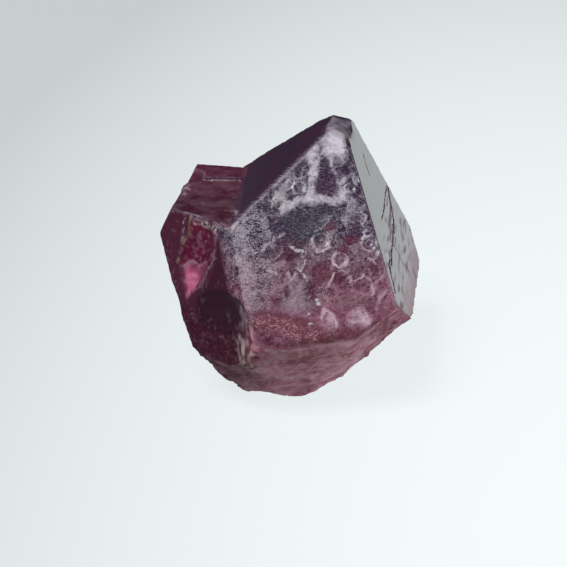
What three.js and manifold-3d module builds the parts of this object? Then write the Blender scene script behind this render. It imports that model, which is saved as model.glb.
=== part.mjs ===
// Spinel crystal: one octahedron with its tip up, resting on its broken base. The front face is pitted
// by etching, and the smooth right face has shed a thin wedge between two cracks. The left side is
// stepped and broken, and the base is rough and rounded.
// Millimetres, +Z up. The front looks along -Y. The origin is under the middle of the part, on the
// level that it rests on.

import * as THREE from "three";
import { ImprovedNoise } from "three/addons/math/ImprovedNoise.js";
import { mergeVertices } from "three/addons/utils/BufferGeometryUtils.js";
import Module from "manifold-3d";

const wasm = await Module();
wasm.setup();

// Driving dimensions. Lengths are in millimetres and angles in degrees. A heading is counted from +X
// about +Z, and a rise is counted from the horizontal. A depth is a flat's distance from the middle.
const blankReach = 14;
const turn = 220;
const lean = 14;
const restLevel = -5.95;

// The octahedron's attitude: turned about +Z, then leaned to the right.
const attitude = new THREE.Matrix4()
  .makeRotationY(THREE.MathUtils.degToRad(lean))
  .multiply(new THREE.Matrix4().makeRotationZ(THREE.MathUtils.degToRad(turn)));

// Growth faces, each named by where it looks.
const front = { facing: growthFace(1, 1, 1), depth: 6.4 };
const right = { facing: growthFace(-1, 1, 1), depth: 5.72 };
const left = { facing: growthFace(1, -1, 1), depth: 5.5 };
const backTop = { facing: growthFace(-1, -1, 1), depth: 6.85 };
const lowerRight = { facing: growthFace(-1, 1, -1), depth: 5.4 };
const lowerLeft = { facing: growthFace(1, -1, -1), depth: 6.08 };
const lowerFront = { facing: growthFace(1, 1, -1), depth: 6.4 };
const lowerBack = { facing: growthFace(-1, -1, -1), depth: 5.8 };
const crystalFaces = [front, right, left, backTop, lowerRight, lowerLeft, lowerFront, lowerBack];

// The left block stands out past the left growth face, under a level ledge. The ledge's front part
// lies one small step lower.
const ledge = { facing: facing(90, 88), depth: 4.45 };
const ledgeStep = { drop: 0.16, toward: facing(265, -2), wall: -3.1 };
const blockFaces = [
  front,
  right,
  { facing: backTop.facing, depth: 6.08 },
  lowerRight,
  lowerLeft,
  lowerBack,
  ledge,
  { facing: facing(170, 24), depth: 7.9 },
];

// Flats where corners have broken away.
const breaks = {
  tip: { facing: facing(350, 72), depth: 8.88 },
  tipBack: { facing: facing(75, 55), depth: 8.34 },
  leftFlank: { facing: facing(222, 17), depth: 7.15 },
  lowLeft: { facing: facing(202, -44), depth: 7.3 },
};

// The rough base spreads from its foot to its waist, keeps inside a few broad flats, and leaves the
// top of the crystal alone.
const rough = {
  footReach: 7.25,
  waistReach: 8.45,
  topReach: 14,
  footRise: -50,
  waistRise: -4,
  topRise: 22,
  detail: 20,
  flats: [
    { facing: facing(320, -35), depth: 6.72 },
    { facing: facing(283, -42), depth: 6.84 },
    { facing: facing(120, -30), depth: 6.7 },
  ],
  hollowSize: 2.6,
  hollowDepth: 0.6,
  grainSize: 0.9,
  grainDepth: 0.14,
  lump: { facing: facing(40, -6), spread: 24, height: 0.55 },
};

// Shell-shaped hollows left by chips: where each is, how round it is, how much taller than wide it is
// and how deep it goes.
const scoops = {
  thumb: { heading: 215, rise: 19, reach: 7.15, radius: 1.8, tall: 2.1, sink: 0.36 },
  flank: { heading: 230, rise: -2, reach: 7.25, radius: 8, tall: 1.3, sink: 0.16 },
  leftStrip: { heading: 201, rise: -6, reach: 7.45, radius: 5, tall: 1, sink: 0.12 },
  lowLeft: { heading: 215, rise: -38, reach: 7.3, radius: 2.2, tall: 1, sink: 0.35 },
  foot: { heading: 214, rise: -47, reach: 7.4, radius: 1.6, tall: 1, sink: 0.46 },
  heel: { heading: 291, rise: -55, reach: 7.22, radius: 3, tall: 1, sink: 0.32 },
  cleft: { heading: 249, rise: -10, reach: 8.6, radius: 1.2, tall: 1.8, sink: 0.3 },
  ledgeNick: { heading: 147, rise: 32, reach: 8.2, radius: 1.3, tall: 1, sink: 0.36 },
  tipNick: { heading: 92, rise: 68, reach: 8.7, radius: 0.9, tall: 1, sink: 0.2 },
  backCorner: { heading: 128, rise: 6, reach: 8.6, radius: 6, tall: 0.8, sink: 0.9 },
  backEdge: { heading: 80, rise: -18, reach: 7.6, radius: 3, tall: 1.4, sink: 0.35 },
};

// Etch pits on the front face: place across and up the face, half width, stretch and depth.
const pits = [
  { across: 1.45, up: 3.3, width: 0.7, stretch: 1.5, depth: 0.15 },
  { across: -1.1, up: 3.5, width: 0.5, stretch: 1.6, depth: 0.12 },
  { across: -1.7, up: 2.2, width: 0.55, stretch: 1.7, depth: 0.12 },
  { across: 2.5, up: 3.8, width: 0.4, stretch: 1.8, depth: 0.12 },
  { across: -0.1, up: 1.3, width: 0.8, stretch: 1.8, depth: 0.16 },
  { across: 0.84, up: 0.17, width: 0.5, stretch: 1.1, depth: 0.14 },
  { across: 1.85, up: -1.44, width: 0.38, stretch: 1.1, depth: 0.14 },
  { across: 3.35, up: -0.4, width: 0.45, stretch: 1.5, depth: 0.14 },
  { across: -2.3, up: -0.4, width: 0.6, stretch: 1.7, depth: 0.12 },
  { across: -0.7, up: -1.1, width: 0.5, stretch: 2, depth: 0.14 },
  { across: 0.5, up: -2.7, width: 0.5, stretch: 1.6, depth: 0.16 },
  { across: 2.6, up: -2.5, width: 0.6, stretch: 1.7, depth: 0.14 },
  { across: -1.6, up: -3.2, width: 0.55, stretch: 1.6, depth: 0.12 },
];
const pitTurn = 47;
const pitFlare = 4;

// Thin layers shed from growth faces: how thick each is, and the turning points of its ragged outline
// across and up the face.
const sheds = {
  right: {
    face: right,
    thickness: 0.14,
    turns: [
      [7, 1.5],
      [-0.6, 1.6],
      [-2.6, 1.1],
      [-4.3, 0.15],
      [-5.6, -1.1],
      [-4.2, -0.2],
      [-1.5, -0.1],
      [2.7, 0.1],
      [4.9, 1.3],
      [7, 1.2],
    ],
  },
  back: {
    face: backTop,
    thickness: 0.2,
    turns: [
      [9, 2.2],
      [5, 0.9],
      [2.2, 1.2],
      [0.4, -0.6],
      [-2.4, -1.1],
      [-3.2, -3.4],
      [-3.5, -9],
      [9, -9],
    ],
  },
};
const ragged = { teeth: 6, height: 0.24 };

// Growth steps that run along the lower right edge, the deepest nearest to it.
const terraces = { count: 3, pitch: 0.62, drop: 0.13, edge: 0.3 };

function facing(heading, rise) {
  const around = THREE.MathUtils.degToRad(heading);
  const up = THREE.MathUtils.degToRad(rise);
  const level = Math.cos(up);
  return new THREE.Vector3(level * Math.cos(around), level * Math.sin(around), Math.sin(up));
}

function growthFace(x, y, z) {
  return new THREE.Vector3(x, y, z).normalize().applyMatrix4(attitude);
}

function toSolid(geometry) {
  const bare = geometry.index ? geometry.toNonIndexed() : geometry.clone();
  bare.deleteAttribute("normal");
  bare.deleteAttribute("uv");
  const merged = mergeVertices(bare, 1e-4);
  const mesh = new wasm.Mesh({
    numProp: 3,
    vertProperties: new Float32Array(merged.attributes.position.array),
    triVerts: new Uint32Array(merged.index.array),
  });
  return new wasm.Manifold(mesh);
}

function toGeometry(solid) {
  const mesh = solid.getMesh();
  const indexed = new THREE.BufferGeometry();
  indexed.setAttribute("position", new THREE.BufferAttribute(mesh.vertProperties, 3));
  indexed.setIndex(new THREE.BufferAttribute(mesh.triVerts, 1));
  const flat = indexed.toNonIndexed();
  flat.computeVertexNormals();
  return flat;
}

// A frame that stands on a flat: X runs level across it, Y up it and Z out of it.
function standOn({ facing: out, depth }) {
  const across = new THREE.Vector3(0, 0, 1).cross(out).normalize();
  const up = out.clone().cross(across);
  const frame = new THREE.Matrix4().makeBasis(across, up, out);
  return frame.setPosition(out.clone().multiplyScalar(depth));
}

// Everything past a flat.
function beyond(flat) {
  const size = 5 * blankReach;
  const box = new THREE.BoxGeometry(size, size, size).translate(0, 0, size / 2);
  return toSolid(box.applyMatrix4(standOn(flat)));
}

function trimmedBlank(flats) {
  let solid = toSolid(new THREE.OctahedronGeometry(blankReach).applyMatrix4(attitude));
  for (const flat of flats) solid = solid.subtract(beyond(flat));
  return solid;
}

// How far the broken surface reaches from the middle in one direction.
const noise = new ImprovedNoise();
function roughReach(direction) {
  const rise = THREE.MathUtils.radToDeg(Math.asin(direction.z));
  const toWaist = THREE.MathUtils.smoothstep(rise, rough.footRise, rough.waistRise);
  const toTop = THREE.MathUtils.smoothstep(rise, rough.waistRise, rough.topRise);
  let reach = THREE.MathUtils.lerp(rough.footReach, rough.waistReach, toWaist);
  reach = THREE.MathUtils.lerp(reach, rough.topReach, toTop);
  for (const flat of rough.flats) {
    const slope = direction.dot(flat.facing);
    if (slope > 0) reach = Math.min(reach, flat.depth / slope);
  }
  const noiseAt = (size) => {
    const spot = direction.clone().multiplyScalar(rough.footReach / size);
    return noise.noise(spot.x + 3.7, spot.y + 1.3, spot.z + 8.1);
  };
  const { facing: lumpFacing, spread, height } = rough.lump;
  const off = THREE.MathUtils.radToDeg(direction.angleTo(lumpFacing));
  reach += height * (1 - THREE.MathUtils.smoothstep(off, 0, spread));
  const hollows = rough.hollowDepth * (0.25 - Math.abs(noiseAt(rough.hollowSize)));
  const grain = rough.grainDepth * noiseAt(rough.grainSize);
  return reach + hollows + grain;
}

function roughBall() {
  const ball = new THREE.IcosahedronGeometry(1, rough.detail);
  const places = ball.attributes.position;
  const direction = new THREE.Vector3();
  for (let i = 0; i < places.count; i += 1) {
    direction.fromBufferAttribute(places, i).normalize();
    const reach = roughReach(direction);
    places.setXYZ(i, direction.x * reach, direction.y * reach, direction.z * reach);
  }
  return toSolid(ball);
}

function scoopBall({ heading, rise, reach, radius, tall, sink }) {
  const ball = new THREE.IcosahedronGeometry(radius, 6 + Math.round(radius));
  ball.scale(1, tall, 1).translate(0, 0, radius - sink);
  return toSolid(ball.applyMatrix4(standOn({ facing: facing(heading, rise), depth: reach })));
}

// A shallow oval bowl that sinks into the front face: the lowest part of a ball that stands pitFlare
// pit depths above its lowest point. Each is turned further than the one before.
function pitBowl({ across, up, width, stretch, depth }, index) {
  const centre = 1 - 1 / pitFlare;
  const flare = 1 / Math.sqrt(1 - centre * centre);
  const bowl = new THREE.SphereGeometry(1, 16, 16).rotateX(Math.PI / 2);
  bowl.scale(width * stretch * flare, width * flare, depth * pitFlare);
  bowl.rotateZ(THREE.MathUtils.degToRad(pitTurn * index));
  bowl.translate(across, up, depth * pitFlare * centre);
  return toSolid(bowl.applyMatrix4(standOn(front)));
}

// A face's shed layer, as a plate that reaches a little above the face.
function shedPlate({ face, thickness, turns }) {
  const edge = [];
  for (const [i, [fromAcross, fromUp]] of turns.entries()) {
    const [toAcross, toUp] = turns[(i + 1) % turns.length];
    for (let tooth = 0; tooth < ragged.teeth; tooth += 1) {
      const along = tooth / ragged.teeth;
      const across = THREE.MathUtils.lerp(fromAcross, toAcross, along);
      const up = THREE.MathUtils.lerp(fromUp, toUp, along);
      const fromCorner = 2 * Math.min(along, 1 - along);
      const shift = fromCorner * ragged.height * noise.noise(2 * across, 0.5, i);
      edge.push(new THREE.Vector2(across, up + shift));
    }
  }
  const size = { depth: 1 + thickness, bevelEnabled: false };
  const plate = new THREE.ExtrudeGeometry(new THREE.Shape(edge), size);
  return toSolid(plate.translate(0, 0, -thickness).applyMatrix4(standOn(face)));
}

// The corner of space past a level along one direction and past a wall along another, square to it.
function cornerCut(out, level, toward, wall) {
  const side = toward.clone().addScaledVector(out, -toward.dot(out)).normalize();
  const size = 2 * blankReach;
  const box = new THREE.BoxGeometry(size, size, size).translate(size / 2, 0, size / 2);
  const frame = new THREE.Matrix4().makeBasis(side, out.clone().cross(side), out);
  const corner = side.clone().multiplyScalar(wall).addScaledVector(out, level);
  return toSolid(box.applyMatrix4(frame.setPosition(corner)));
}

function terraceCut(index) {
  const flat = rough.flats[0];
  const level = flat.depth - terraces.drop * (index + 1);
  const wall = terraces.edge - terraces.pitch * (terraces.count - index);
  return cornerCut(flat.facing, level, lowerRight.facing, wall);
}

function leftBlock() {
  const { drop, toward, wall } = ledgeStep;
  const step = cornerCut(ledge.facing, ledge.depth - drop, toward, wall);
  return trimmedBlank(blockFaces).subtract(step);
}

function buildCrystal() {
  let solid = trimmedBlank(crystalFaces).add(leftBlock());
  for (const flat of Object.values(breaks)) solid = solid.subtract(beyond(flat));
  solid = solid.intersect(roughBall());
  for (const scoop of Object.values(scoops)) solid = solid.subtract(scoopBall(scoop));
  for (const [i, pit] of pits.entries()) solid = solid.subtract(pitBowl(pit, i));
  for (let i = 0; i < terraces.count; i += 1) solid = solid.subtract(terraceCut(i));
  for (const shed of Object.values(sheds)) solid = solid.subtract(shedPlate(shed));
  return solid.subtract(beyond({ facing: facing(0, -90), depth: -restLevel }));
}

const geometry = toGeometry(buildCrystal());
geometry.computeBoundingBox();
const { min, max } = geometry.boundingBox;
geometry.translate(-(min.x + max.x) / 2, -(min.y + max.y) / 2, -min.z);

const purple = new THREE.MeshStandardMaterial({ color: 0x6f4a5c, roughness: 0.35, metalness: 0 });
const crystal = new THREE.Mesh(geometry, purple);
crystal.name = "spinel_crystal";

const part = new THREE.Group();
part.add(crystal);

export default part;
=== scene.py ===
import math

import bpy
import numpy as np
from mathutils import Matrix, Vector, noise


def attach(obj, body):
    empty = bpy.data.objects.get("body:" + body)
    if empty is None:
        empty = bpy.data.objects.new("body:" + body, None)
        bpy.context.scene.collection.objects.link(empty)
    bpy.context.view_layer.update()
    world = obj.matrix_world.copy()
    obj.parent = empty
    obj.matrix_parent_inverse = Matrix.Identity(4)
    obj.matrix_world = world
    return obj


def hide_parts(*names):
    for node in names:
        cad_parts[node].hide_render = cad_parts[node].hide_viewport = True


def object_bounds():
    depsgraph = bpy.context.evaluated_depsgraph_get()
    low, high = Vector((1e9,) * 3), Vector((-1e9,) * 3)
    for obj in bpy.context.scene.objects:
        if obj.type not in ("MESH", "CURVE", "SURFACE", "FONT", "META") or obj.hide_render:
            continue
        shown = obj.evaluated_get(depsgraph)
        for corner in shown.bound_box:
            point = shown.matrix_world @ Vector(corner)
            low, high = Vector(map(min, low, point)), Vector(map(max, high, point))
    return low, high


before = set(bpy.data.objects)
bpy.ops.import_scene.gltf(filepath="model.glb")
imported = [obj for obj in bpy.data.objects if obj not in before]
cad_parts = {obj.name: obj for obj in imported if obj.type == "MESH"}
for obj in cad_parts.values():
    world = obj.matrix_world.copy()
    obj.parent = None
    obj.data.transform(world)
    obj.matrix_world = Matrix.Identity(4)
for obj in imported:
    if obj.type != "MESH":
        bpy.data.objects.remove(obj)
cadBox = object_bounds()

mm = 0.001
scene = bpy.context.scene


def clearSelection():
    for thing in bpy.context.selected_objects:
        thing.select_set(False)


def pickOnly(piece):
    clearSelection()
    piece.select_set(True)
    bpy.context.view_layer.objects.active = piece


viewpoint = {
    "aim": (-0.514, 0.020, 5.295),   # mm
    "away": 177.966,                 # mm
    "climb": 22,                     # degrees above the table
    "lens": 200,
}


def setCamera():
    climb = math.radians(viewpoint["climb"])
    back = Vector((0, -math.cos(climb), math.sin(climb)))
    place = (Vector(viewpoint["aim"]) + back * viewpoint["away"]) * mm
    bpy.ops.object.camera_add(location=place, rotation=(math.radians(90) - climb, 0, 0))
    camera = bpy.context.object
    camera.name = "studioCamera"
    camera.data.lens = viewpoint["lens"]
    camera.data.sensor_width = 36
    camera.data.clip_start = 0.01
    camera.data.clip_end = 20
    scene.camera = camera


setCamera()
print("camera ready")


# crystal: its flats and hollows
crystalForm = {
    "middle": (0.3050, 0.2854, 5.95),    # mm, where the octahedron's axes cross
    "turn": 220,                         # degrees
    "lean": 14,
    "gridScale": 0.50,                   # coarser grid as it gets smaller
    "gridDepth": 8,
    "fineDepth": 0.6,                    # mm below the front face where the finer grid ends
    "crackReach": 0.19,                  # mm beside a crack where the finest grid ends
    "crackCuts": 3,
    "filled": 0.85,                      # how much of the etch pits and of the shed layer is filled
    "smoothAngle": 38,
}

middle = np.array(crystalForm["middle"])
attitude = Matrix.Rotation(math.radians(crystalForm["lean"]), 3, "Y")
attitude = attitude @ Matrix.Rotation(math.radians(crystalForm["turn"]), 3, "Z")


def growthFace(x, y, z):
    return np.array((attitude @ Vector((x, y, z))).normalized())


def facing(heading, rise):
    around, up = math.radians(heading), math.radians(rise)
    return np.array((math.cos(up) * math.cos(around), math.cos(up) * math.sin(around), math.sin(up)))


flats = {     # where each flat looks and how far it is from the middle, in mm
    "front": (growthFace(1, 1, 1), 6.4),
    "right": (growthFace(-1, 1, 1), 5.72),
    "rightShed": (growthFace(-1, 1, 1), 5.58),
    "left": (growthFace(1, -1, 1), 5.5),
    "backTop": (growthFace(-1, -1, 1), 6.85),
    "backShed": (growthFace(-1, -1, 1), 6.65),
    "blockBack": (growthFace(-1, -1, 1), 6.08),
    "lowerRight": (growthFace(-1, 1, -1), 5.4),
    "lowerLeft": (growthFace(1, -1, -1), 6.08),
    "lowerBack": (growthFace(-1, -1, -1), 5.8),
    "ledge": (facing(90, 88), 4.45),
    "ledgeLow": (facing(90, 88), 4.29),
    "leftStrip": (facing(170, 24), 7.9),
    "tip": (facing(350, 72), 8.88),
    "tipBack": (facing(75, 55), 8.34),
    "flank": (facing(222, 17), 7.15),
    "lowLeft": (facing(202, -44), 7.3),
}


def axesOn(out):
    across = np.cross((0, 0, 1), out)
    across /= np.linalg.norm(across)
    return across, np.cross(out, across)


def ease(low, high, value):
    t = np.clip((value - low) / (high - low), 0, 1)
    return t * t * (3 - 2 * t)


def noiseAt(places, size, seed):
    shift = Vector((seed * 7.31, seed * 3.17, seed * 5.73))
    return np.fromiter((noise.noise(Vector(p) / size + shift) for p in places), float, len(places))


def noisesAt(places, size, seeds):
    return np.stack([noiseAt(places, size, seed) for seed in seeds], 1)


def ridgesAt(places, size, seed):
    shift = Vector((seed * 4.19, seed * 8.53, seed * 2.27))
    found = [noise.voronoi(Vector(p) / size + shift)[0] for p in places]
    found = np.array([(d[0], d[1]) for d in found])
    return found[:, 0], found[:, 1]


def toSegments(places, path):
    best = np.full(len(places), 1e9)
    path = [np.array(p, float) for p in path]
    if len(path) == 1:
        return np.linalg.norm(places - path[0], axis=1)
    for a, b in zip(path[:-1], path[1:]):
        run = b - a
        t = np.clip((places - a) @ run / (run @ run), 0, 1)
        best = np.minimum(best, np.linalg.norm(places - (a + t[:, None] * run), axis=1))
    return best


def within(places, outline, soft=0.08):
    closed = list(outline) + [outline[0]]
    inside = np.zeros(len(places), bool)
    for (ax, ay), (bx, by) in zip(closed[:-1], closed[1:]):
        crosses = (ay > places[:, 1]) != (by > places[:, 1])
        inside ^= crosses & (places[:, 0] < (bx - ax) * (places[:, 1] - ay) / (by - ay + 1e-9) + ax)
    edge = toSegments(places, closed)
    return ease(-soft, soft, np.where(inside, edge, -edge))


def brush(spot, path, halfWidth, soft=0.5):
    return ease(halfWidth * (1 + soft), halfWidth * (1 - soft), toSegments(spot, path))


def oval(spot, centre, wide, tall, soft=0.3):
    return ease(1 + soft, 1 - soft, np.linalg.norm((spot - np.array(centre)) / (wide, tall), axis=1))


def placesOf(piece):
    flat = np.empty(len(piece.data.vertices) * 3)
    piece.data.vertices.foreach_get("co", flat)
    return flat.reshape(-1, 3) / mm - middle


def normalsOf(piece):
    flat = np.empty(len(piece.data.vertices) * 3)
    piece.data.vertices.foreach_get("normal", flat)
    return flat.reshape(-1, 3)


def movePoints(piece, places, low=-math.inf, high=math.inf):
    kept = np.clip((places + middle) * mm, low, high)
    piece.data.vertices.foreach_set("co", kept.ravel())
    piece.data.update()


def selectOnly(piece, kind, chosen):
    pickOnly(piece)
    for name in ("vertices", "edges", "polygons"):
        things = getattr(piece.data, name)
        things.foreach_set("select", chosen if name == kind else np.zeros(len(things), bool))


def soften(piece, values, rounds):
    ends = np.empty(len(piece.data.edges) * 2, int)
    piece.data.edges.foreach_get("vertices", ends)
    ends = ends.reshape(-1, 2)
    count = np.bincount(ends.ravel(), minlength=len(values))
    for _ in range(rounds):
        total = np.bincount(ends[:, 0], values[ends[:, 1]], len(values))
        total += np.bincount(ends[:, 1], values[ends[:, 0]], len(values))
        values = (values + total / count) / 2
    return values


def startCrystal():
    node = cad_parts["spinel_crystal"]
    crystal = bpy.data.objects.new("frostedSpinel", node.data.copy())
    crystal.data.name = "frostedSpinel"
    crystal.data.materials.clear()
    scene.collection.objects.link(crystal)
    pickOnly(crystal)
    bpy.ops.object.mode_set(mode="EDIT")
    bpy.ops.mesh.select_all(action="SELECT")
    bpy.ops.mesh.remove_doubles(threshold=1e-6)
    bpy.ops.object.mode_set(mode="OBJECT")
    spare = ("custom_normal", "sharp_edge", "sharp_face")
    for name in [a.name for a in crystal.data.attributes if a.name in spare]:
        crystal.data.attributes.remove(crystal.data.attributes[name])
    grid = crystal.modifiers.new("grid", "REMESH")
    grid.mode = "SHARP"
    grid.octree_depth = crystalForm["gridDepth"]
    grid.scale = crystalForm["gridScale"]
    grid.sharpness = 1
    grid.use_remove_disconnected = False
    bpy.ops.object.modifier_apply(modifier="grid")
    bpy.ops.object.mode_set(mode="EDIT")
    bpy.ops.mesh.select_mode(type="EDGE")
    bpy.ops.mesh.select_all(action="DESELECT")
    bpy.ops.mesh.select_non_manifold()
    bpy.ops.mesh.merge(type="COLLAPSE")      # tiny pinched edges on the ridges
    bpy.ops.object.mode_set(mode="OBJECT")
    print("crystal grid:", len(crystal.data.vertices), "points")
    return crystal


cracks = {       # across and up the right face, in mm, then half width and depth
    "top": ([(5.6, 1.47), (3.4, 1.6), (1.4, 1.5), (-0.7, 1.66)], 0.045, 0.04),
    "ragged": ([(5.0, 1.38), (3.9, 0.9), (2.7, 0.14), (1.6, 0.2), (0.6, 0.0), (-0.5, -0.12),
                (-1.5, -0.05), (-3.3, -0.3)], 0.04, 0.035),
    "inner": ([(4.6, 1.2), (3.4, 0.75), (2.2, 0.5), (0.9, 0.35), (-0.8, 0.2)], 0.03, 0.02),
    "lower": ([(-3.0, 0.0), (-4.2, 0.06), (-4.8, -0.4), (-5.5, -1.08)], 0.05, 0.05),
    "branch": ([(-0.3, -0.2), (-0.05, -0.8), (0.25, -1.65)], 0.035, 0.03),
    "short": ([(1.25, 4.9), (1.0, 4.4), (0.69, 3.85)], 0.04, 0.035),
    "corner": ([(2.5, -3.0), (2.35, -3.5)], 0.07, 0.05),
}
shedOutline = [(6.6, 1.5), (-0.6, 1.6), (-2.6, 1.1), (-4.3, 0.15), (-5.6, -1.1),
               (-4.2, -0.2), (-1.5, -0.1), (2.7, 0.1), (4.9, 1.3)]


def onRightFace(places):
    out, depth = flats["right"]
    across, up = axesOn(out)
    return np.stack([places @ across, places @ up], 1), depth - places @ out


def crackMasks(places):
    spot = onRightFace(places)[0] + 0.10 * noisesAt(places, 0.5, (51, 52))
    return [(ease(1.6, 0.2, toSegments(spot, path) / halfWidth), depth)
            for path, halfWidth, depth in cracks.values()]


def splitFaces(crystal, seen, cuts):
    loops = np.empty(len(crystal.data.loops), int)
    crystal.data.loops.foreach_get("vertex_index", loops)
    starts = np.empty(len(crystal.data.polygons), int)
    crystal.data.polygons.foreach_get("loop_start", starts)
    chosen = np.minimum.reduceat(seen[loops].astype(int), starts).astype(bool)
    selectOnly(crystal, "polygons", chosen)
    bpy.ops.object.mode_set(mode="EDIT")
    bpy.ops.mesh.select_mode(type="FACE")
    bpy.ops.mesh.subdivide(number_cuts=cuts)
    bpy.ops.object.mode_set(mode="OBJECT")
    print("crystal refined:", len(crystal.data.vertices), "points")


def refine(crystal):
    places, normals = placesOf(crystal), normalsOf(crystal)
    out, depth = flats["front"]
    splitFaces(crystal, (places @ out > depth - crystalForm["fineDepth"]) & (normals @ out > 0.3), 1)
    places, normals = placesOf(crystal), normalsOf(crystal)
    spot, below = onRightFace(places)
    toCrack = np.min([toSegments(spot, path) for path, _, _ in cracks.values()], axis=0)
    near = (toCrack < crystalForm["crackReach"]) & (np.abs(below) < 0.5) & (normals @ flats["right"][0] > 0.6)
    splitFaces(crystal, near, crystalForm["crackCuts"])


def zoneMasks(places, normals):
    zones = {}
    for name, (out, depth) in flats.items():
        near = ease(0.14, 0.03, np.abs(places @ out - depth))
        zones[name] = near * ease(0.80, 0.96, normals @ out)
    out, depth = flats["front"]
    zones["front"] = ease(-0.9, -0.6, places @ out - depth) * ease(0.3, 0.6, normals @ out)
    return zones


def smoothWhere(piece, chosen, rounds, factor=0.5):
    selectOnly(piece, "vertices", chosen)
    bpy.ops.object.mode_set(mode="EDIT")
    bpy.ops.mesh.select_mode(type="VERT")
    bpy.ops.mesh.vertices_smooth(factor=factor, repeat=rounds)
    bpy.ops.object.mode_set(mode="OBJECT")


def fillShed(crystal):
    places = placesOf(crystal)
    spot, below = onRightFace(places)
    mask = (within(spot, shedOutline, 0.34) > 0) & (below > 0) & (below < 0.17)
    places[mask] += flats["right"][0] * below[mask, None] * crystalForm["filled"]
    movePoints(crystal, places)


innerFront = [(2.05, 5.9), (-3.6, 0.9), (-3.4, -1.9), (-3.15, -3.7), (-0.6, -4.7),
              (3.0, -4.6), (4.2, -3.6), (3.85, -1.7), (3.45, 0.43)]


def fillPits(crystal):
    places = placesOf(crystal)
    out, depth = flats["front"]
    across, up = axesOn(out)
    below = np.clip(depth - places @ out - 0.01, 0, 0.9)
    below *= (normalsOf(crystal) @ out > 0) & (depth - places @ out < 0.9)
    below *= within(np.stack([places @ across, places @ up], 1), innerFront, 0.25)
    places += out * below[:, None] * crystalForm["filled"]
    movePoints(crystal, places)
    smoothWhere(crystal, soften(crystal, below, 2) > 0.03, 8)


worn = {     # what time has rounded: place in mm from the middle, reach, smoothing rounds
    "tip": ((2.65, -0.5, 8.6), 1.5, 60),
    "ledgeCorner": ((-6.3, 1.2, 4.2), 1.6, 8),
    "thumbTop": ((-5.2, -3.2, 4.1), 1.6, 5),
}
wornEdges = {"front": 14, "low": 60}     # rounds along the front's rim and its low margin


def wearEdges(crystal):
    places = placesOf(crystal)
    out, depth = flats["front"]
    below, upFace = depth - places @ out, places @ axesOn(out)[1]
    frontRim = (below > 0.012) & (below < 0.4) & (np.abs(upFace) < 6.2) & (places[:, 1] < -1)
    smoothWhere(crystal, frontRim, wornEdges["front"])
    smoothWhere(crystal, (np.abs(below) < 0.9) & (upFace < -4.5), wornEdges["low"])
    for place, reach, rounds in worn.values():
        smoothWhere(crystal, np.linalg.norm(placesOf(crystal) - place, axis=1) < reach, rounds)
    smoothWhere(crystal, np.ones(len(places), bool), 1, 0.3)


crystal = startCrystal()
refine(crystal)
fillShed(crystal)
fillPits(crystal)
wearEdges(crystal)

places, normals = placesOf(crystal), normalsOf(crystal)
softNormals = np.stack([soften(crystal, normals[:, i], 3) for i in range(3)], 1)
evenness = np.linalg.norm(softNormals, axis=1)
softNormals /= evenness[:, None]
softPlaces = np.stack([soften(crystal, places[:, i], 3) for i in range(3)], 1)
convex = np.sum((places - softPlaces) * softNormals, axis=1)
zones = zoneMasks(places, softNormals)
front = zones["front"]


def anyOf(*names):
    return np.maximum.reduce([zones[name] for name in names])


def bridged(mask):       # a gap a few points wide counts as part of the flats around it
    return ease(0.60, 0.75, soften(crystal, mask, 8)) * (1 - front)


evenFlats = anyOf(*[name for name in flats if name not in ("front", "lowerLeft", "lowerRight")])
growth = anyOf("right", "rightShed", "left", "backTop", "backShed", "lowerBack")
smooth = np.maximum(evenFlats, bridged(np.maximum(evenFlats, front)))
growth = np.maximum(growth, bridged(growth))
broken = np.clip(1 - smooth - front, 0, 1)
calm = ease(0.80, 0.97, evenness)


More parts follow.
